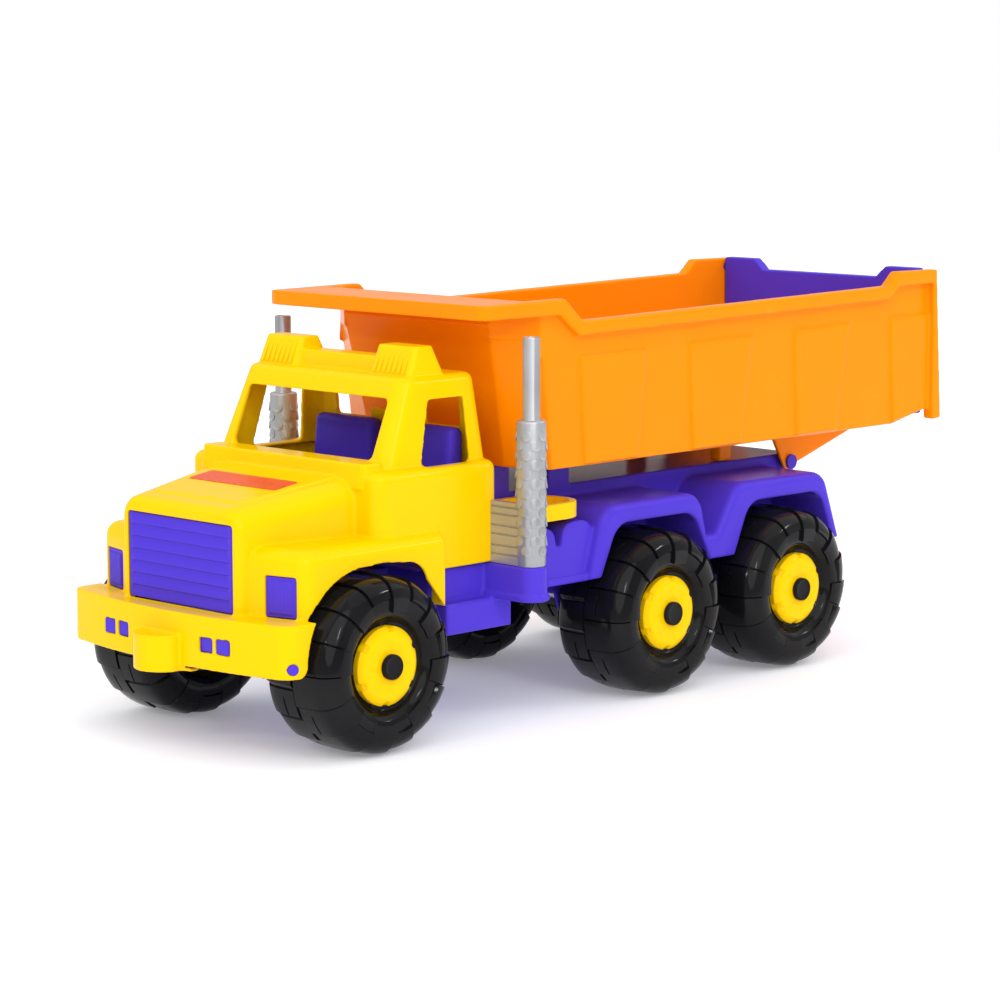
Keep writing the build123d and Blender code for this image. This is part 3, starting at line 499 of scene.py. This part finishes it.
def lamp_relief(across, up, width, height):
    """Raised field of upright flutes inside a plain frame."""
    inside = min(
        smooth_step(2.6, 3.4, min(across, width - across)), smooth_step(2.6, 3.4, min(up, height - up)),
    )
    flutes = FLUTE_RISE * abs(math.sin(math.pi * across / FLUTE_PITCH))
    return inside * (LAMP_RISE + flutes) - edge_fall(across, up, width, height, radius=0.8)


def make_nose_panels():
    """Banded grille and the two fluted headlamps."""
    low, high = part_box("grille_panel")
    front = Vector((low.x, low.y + 1.6 * MM, low.z))
    stand_in(relief_panel("grille", front, high, 90, 154, grille_relief), "grille_panel")
    for word, side in SIDES:
        low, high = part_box(f"headlamp_{word}")
        front = Vector((low.x, low.y + 0.6 * MM, low.z))
        sweep = (0.0, LAMP_SWEEP) if side > 0 else (LAMP_SWEEP, 0.0)
        lamp = relief_panel(f"lamp_{word}", front, high, 72, 60, lamp_relief, sweep)
        stand_in(lamp, f"headlamp_{word}")


# ---------------------------------------------------------------- exhaust stacks

# Radii of the studded shield are in millimetres, and its heights above the ground in metres.
SHIELD_RADIUS = 11.8
SHIELD_FOOT = 0.131
SHIELD_TOP = 0.247
STACK_COLUMNS = 72
LANES = 10
LANE_START = 0.155
RANKS = 7
RANK_PITCH = 0.01524
FIRST_RANK = 0.0126
STUD_COLUMNS = 24
STUD_RADIUS = 4.2 * MM
# A stud's section: share of its radius, and height over the shield in millimetres.
STUD_PROFILE = ((1.0, -0.4), (1.0, 0.55), (0.9, 0.75), (0.5, 0.8), (0.001, 0.8))


def stack_levels(top):
    """The stack's outline from its foot up, over the pipe's lip and down inside it.

    Each level has a radius in millimetres and a height in metres.
    """
    return (
        (TIP, SHIELD_FOOT - 0.015), (6.0, SHIELD_FOOT - 0.015), (6.0, SHIELD_FOOT),
        (11.3, SHIELD_FOOT), (SHIELD_RADIUS, SHIELD_FOOT + 0.001),
        (SHIELD_RADIUS, SHIELD_TOP - 0.002), (11.2, SHIELD_TOP - 0.0006), (10.2, SHIELD_TOP),
        (7.3, SHIELD_TOP), (6.9, SHIELD_TOP + 0.0008),
        (6.9, top - 0.001), (6.5, top), (5.8, top), (5.4, top - 0.0008),
        (5.3, top - 0.03), (TIP, top - 0.03),
    )


def ring(centre, radius, z, columns):
    """Points of a level circle."""
    turn = 2 * math.pi / columns
    return [
        (centre.x + radius * math.cos(turn * step), centre.y + radius * math.sin(turn * step), z)
        for step in range(columns)
    ]


def stud(centre, radius, turn, z):
    """Points of one round scale on the shield, raised more at its lower edge."""
    points = []
    for share, lift in STUD_PROFILE:
        for step in range(STUD_COLUMNS):
            angle = 2 * math.pi * step / STUD_COLUMNS
            across = STUD_RADIUS * share * math.cos(angle)
            up = STUD_RADIUS * share * math.sin(angle)
            raised = lift * (1 - 0.7 * up / STUD_RADIUS) if lift > 0 else lift
            spin = turn + across / radius
            far = radius + raised * MM
            points.append((centre.x + far * math.cos(spin), centre.y + far * math.sin(spin), z + up))
    return points


def make_stack(word, side):
    """Silver exhaust stack: studded shield, thin open pipe and the grooved plate beside the cab."""
    node = f"exhaust_stack_{word}"
    low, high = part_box(node)
    shield = SHIELD_RADIUS * MM
    centre = Vector((side * (max(abs(low.x), abs(high.x)) - shield), high.y - shield, 0))
    levels = stack_levels(high.z)
    points = []
    for radius, z in levels:
        points += ring(centre, radius * MM, z, STACK_COLUMNS)
    faces = grid_faces(len(levels), STACK_COLUMNS)
    for lane in range(LANES):
        turn = 2 * math.pi * (lane + LANE_START) / LANES
        lane_foot = SHIELD_FOOT + FIRST_RANK + (lane % 2) * RANK_PITCH / 2
        for rank in range(RANKS - lane % 2):
            faces += grid_faces(len(STUD_PROFILE), STUD_COLUMNS, start=len(points))
            points += stud(centre, shield, turn, lane_foot + rank * RANK_PITCH)
    stand_in(mesh_piece(f"stack_{word}", points, faces, smooth_angle=50), node)
    make_stack_plate(word, side, low, high)


PLATE_WIDTH = 0.034
PLATE_FOOT = 0.1315
PLATE_TOP = 0.181
PLATE_GROOVES = (0.139, 0.146, 0.155, 0.162, 0.171, 0.177)
# A groove's outline: height from its middle, and depth.
GROOVE = ((-0.0009, 0.0), (-0.0004, 0.0012), (0.0004, 0.0012), (0.0009, 0.0))


def make_stack_plate(word, side, low, high):
    """Plate between the stack and the cab, with pairs of level grooves."""
    near = min(abs(low.x), abs(high.x))
    front, rear = low.y + 0.0004, low.y + 0.006
    profile = [(PLATE_FOOT, 0.0)]
    for groove in PLATE_GROOVES:
        profile += [(groove + up, depth) for up, depth in GROOVE]
    profile.append((PLATE_TOP, 0.0))
    outline = [(front + depth, z) for z, depth in profile] + [(rear, PLATE_TOP), (rear, PLATE_FOOT)]
    count = len(outline)
    points = [(side * x, y, z) for x in (near, near + PLATE_WIDTH) for y, z in outline]
    faces = [(i, (i + 1) % count, count + (i + 1) % count, count + i) for i in range(count)]
    faces += [tuple(range(count)), tuple(range(count, 2 * count))]
    plate = mesh_piece(f"stack_plate_{word}", points, faces, smooth_angle=20)
    paint(plate, "silver_plastic")
    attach(plate, "root")


# ---------------------------------------------------------------- ribs of the roof lights

RIBS = 7
RIB_START = 0.0495
RIB_PITCH = 0.0055
RIB_HALF_WIDTH = 0.0014
RIB_RISE = 0.0007
RIB_SINK = 0.0004
RIB_STEPS = 8
# A rib's lower and upper end: distance behind the cab's front end, and height under the cab's top.
RIB_ENDS = ((0.1995, 0.0205), (0.2075, 0.003))


def make_roof_ribs():
    """Upright ribs on the front faces of the two roof light boxes."""
    low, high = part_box("cab_shell")
    ring_points = RIB_STEPS + 1
    points, faces = [], []
    for _, side in SIDES:
        for rib in range(RIBS):
            middle = side * (RIB_START + RIB_PITCH * rib)
            start = len(points)
            for behind, under in RIB_ENDS:
                for step in range(ring_points):
                    angle = math.pi * step / RIB_STEPS
                    y = low.y + behind - RIB_RISE * math.sin(angle) + RIB_SINK
                    points.append((middle + RIB_HALF_WIDTH * math.cos(angle), y, high.z - under))
            foot = tuple(range(start, start + ring_points))
            head = tuple(range(start + ring_points, start + 2 * ring_points))
            faces += [(foot[i], foot[i + 1], head[i + 1], head[i]) for i in range(RIB_STEPS)]
            faces += [foot, head, (foot[0], foot[-1], head[-1], head[0])]
    ribs = mesh_piece("roof_light_ribs", points, faces)
    paint(ribs, "yellow_plastic")
    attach(ribs, "root")


# ---------------------------------------------------------------- stage, lights and camera

FLOOR_REACH = 12.0
# Strength of the surroundings where the camera looks past the floor, and as a light on the truck.
WORLD_SEEN = 1.0
WORLD_LIGHT = 0.6


def make_stage():
    """Plain pale floor that glows a little, as a lit sweep does, so shadows stay light."""
    material, tree, surface = new_material("floor_white")
    grain = noise_node(tree, scale=3.0, detail=2.0)
    drive_colour(tree, surface, grain, dark=(0.9, 0.9, 0.915), light=(0.92, 0.92, 0.935))
    surface.inputs["Roughness"].default_value = 0.7
    surface.inputs["Emission Color"].default_value = (0.95, 0.94, 1, 1)
    surface.inputs["Emission Strength"].default_value = 0.22
    corners = [(-1, -1), (1, -1), (1, 1), (-1, 1)]
    floor = mesh_piece("floor", [(FLOOR_REACH * x, FLOOR_REACH * y, 0) for x, y in corners], [(0, 1, 2, 3)])
    floor.data.materials.append(material)


def softbox(name, place, target, size, power):
    """Area light aimed at a point."""
    light = bpy.data.lights.new(name, "AREA")
    light.shape = "RECTANGLE"
    light.size, light.size_y = size
    light.energy = power
    lamp = bpy.data.objects.new(name, light)
    lamp.location = place
    lamp.rotation_euler = (Vector(target) - Vector(place)).to_track_quat("-Z", "Y").to_euler()
    bpy.context.scene.collection.objects.link(lamp)


def sun(name, place, strength, width):
    """Broad distant light shining from a place towards the middle."""
    light = bpy.data.lights.new(name, "SUN")
    light.energy = strength
    light.angle = math.radians(width)
    lamp = bpy.data.objects.new(name, light)
    lamp.rotation_euler = (-Vector(place)).to_track_quat("-Z", "Y").to_euler()
    bpy.context.scene.collection.objects.link(lamp)


def make_world():
    """Surroundings that look white and give a dimmer, even light."""
    world = bpy.data.worlds.new("studio")
    world.use_nodes = True
    tree = world.node_tree
    tree.nodes["Background"].inputs["Color"].default_value = (1, 1, 1, 1)
    rays = tree.nodes.new("ShaderNodeLightPath")
    level = tree.nodes.new("ShaderNodeMapRange")
    level.inputs["To Min"].default_value = WORLD_LIGHT
    level.inputs["To Max"].default_value = WORLD_SEEN
    tree.links.new(rays.outputs["Is Camera Ray"], level.inputs["Value"])
    tree.links.new(level.outputs["Result"], tree.nodes["Background"].inputs["Strength"])
    bpy.context.scene.world = world
    bpy.context.scene.view_settings.view_transform = "Standard"


def make_lights():
    """Three broad lights for the shading and small softboxes for the highlights."""
    make_world()
    sun("key", place=(1.8, -1.3, 1.7), strength=1.3, width=60)
    sun("fill", place=(-1.4, -1.2, 2.0), strength=0.65, width=70)
    sun("back", place=(0.5, 1.6, 2.6), strength=0.6, width=70)
    middle = (0, 0, 0.12)
    softbox("front_box", place=(0.5, -2.4, 1.5), target=middle, size=(0.3, 0.12), power=5)
    softbox("side_box", place=(2.3, -0.9, 1.5), target=middle, size=(0.12, 0.5), power=6)
    softbox("rear_box", place=(1.6, 1.7, 1.4), target=middle, size=(0.3, 0.12), power=4)


CAMERA_TURN = math.radians(44.407)
CAMERA_RISE = math.radians(8.092)
CAMERA_TARGET = Vector((0.0003, -0.029, 0.1573))
CAMERA_DISTANCE = 2.667


def make_camera():
    """Long lens ahead of the truck's left front corner, a little above it."""
    level = math.cos(CAMERA_RISE)
    away = Vector((math.sin(CAMERA_TURN) * level, -math.cos(CAMERA_TURN) * level, math.sin(CAMERA_RISE)))
    lens = bpy.data.cameras.new("camera")
    lens.lens = 113.35
    lens.sensor_width = 36
    camera = bpy.data.objects.new("camera", lens)
    camera.location = CAMERA_TARGET + CAMERA_DISTANCE * away
    camera.rotation_euler = (-away).to_track_quat("-Z", "Y").to_euler()
    bpy.context.scene.collection.objects.link(camera)
    bpy.context.scene.camera = camera


# ---------------------------------------------------------------- the truck

for node_name, node_object in NODES.items():
    paint(node_object, SLOT_OF[node_name])

make_camera()
make_lights()
make_stage()

softened("cab_shell", "cab_moulding", voxel=1.1 * MM, keep=0.35)
softened("chassis_frame", "chassis_moulding", voxel=1.3 * MM, keep=0.3)
softened("dump_bed", "bed_moulding", voxel=1.3 * MM, keep=0.3)
softened("tailgate", "gate_moulding", voxel=1.1 * MM, keep=0.3)
softened("cab_seats", "seat_moulding", voxel=1.3 * MM, keep=0.4)
for side_word, side_sign in SIDES:
    softened(f"side_tray_{side_word}", f"tray_{side_word}", voxel=1.0 * MM, keep=0.4)
    softened(f"fog_lamps_{side_word}", f"fog_{side_word}", voxel=0.6 * MM, keep=0.4)
    make_stack(side_word, side_sign)
    for axle_place in PLACES:
        make_tyre(axle_place, side_word, side_sign)
        make_hub(axle_place, side_word, side_sign)
        make_axle_cap(axle_place, side_word, side_sign)
make_nose_panels()
make_roof_ribs()
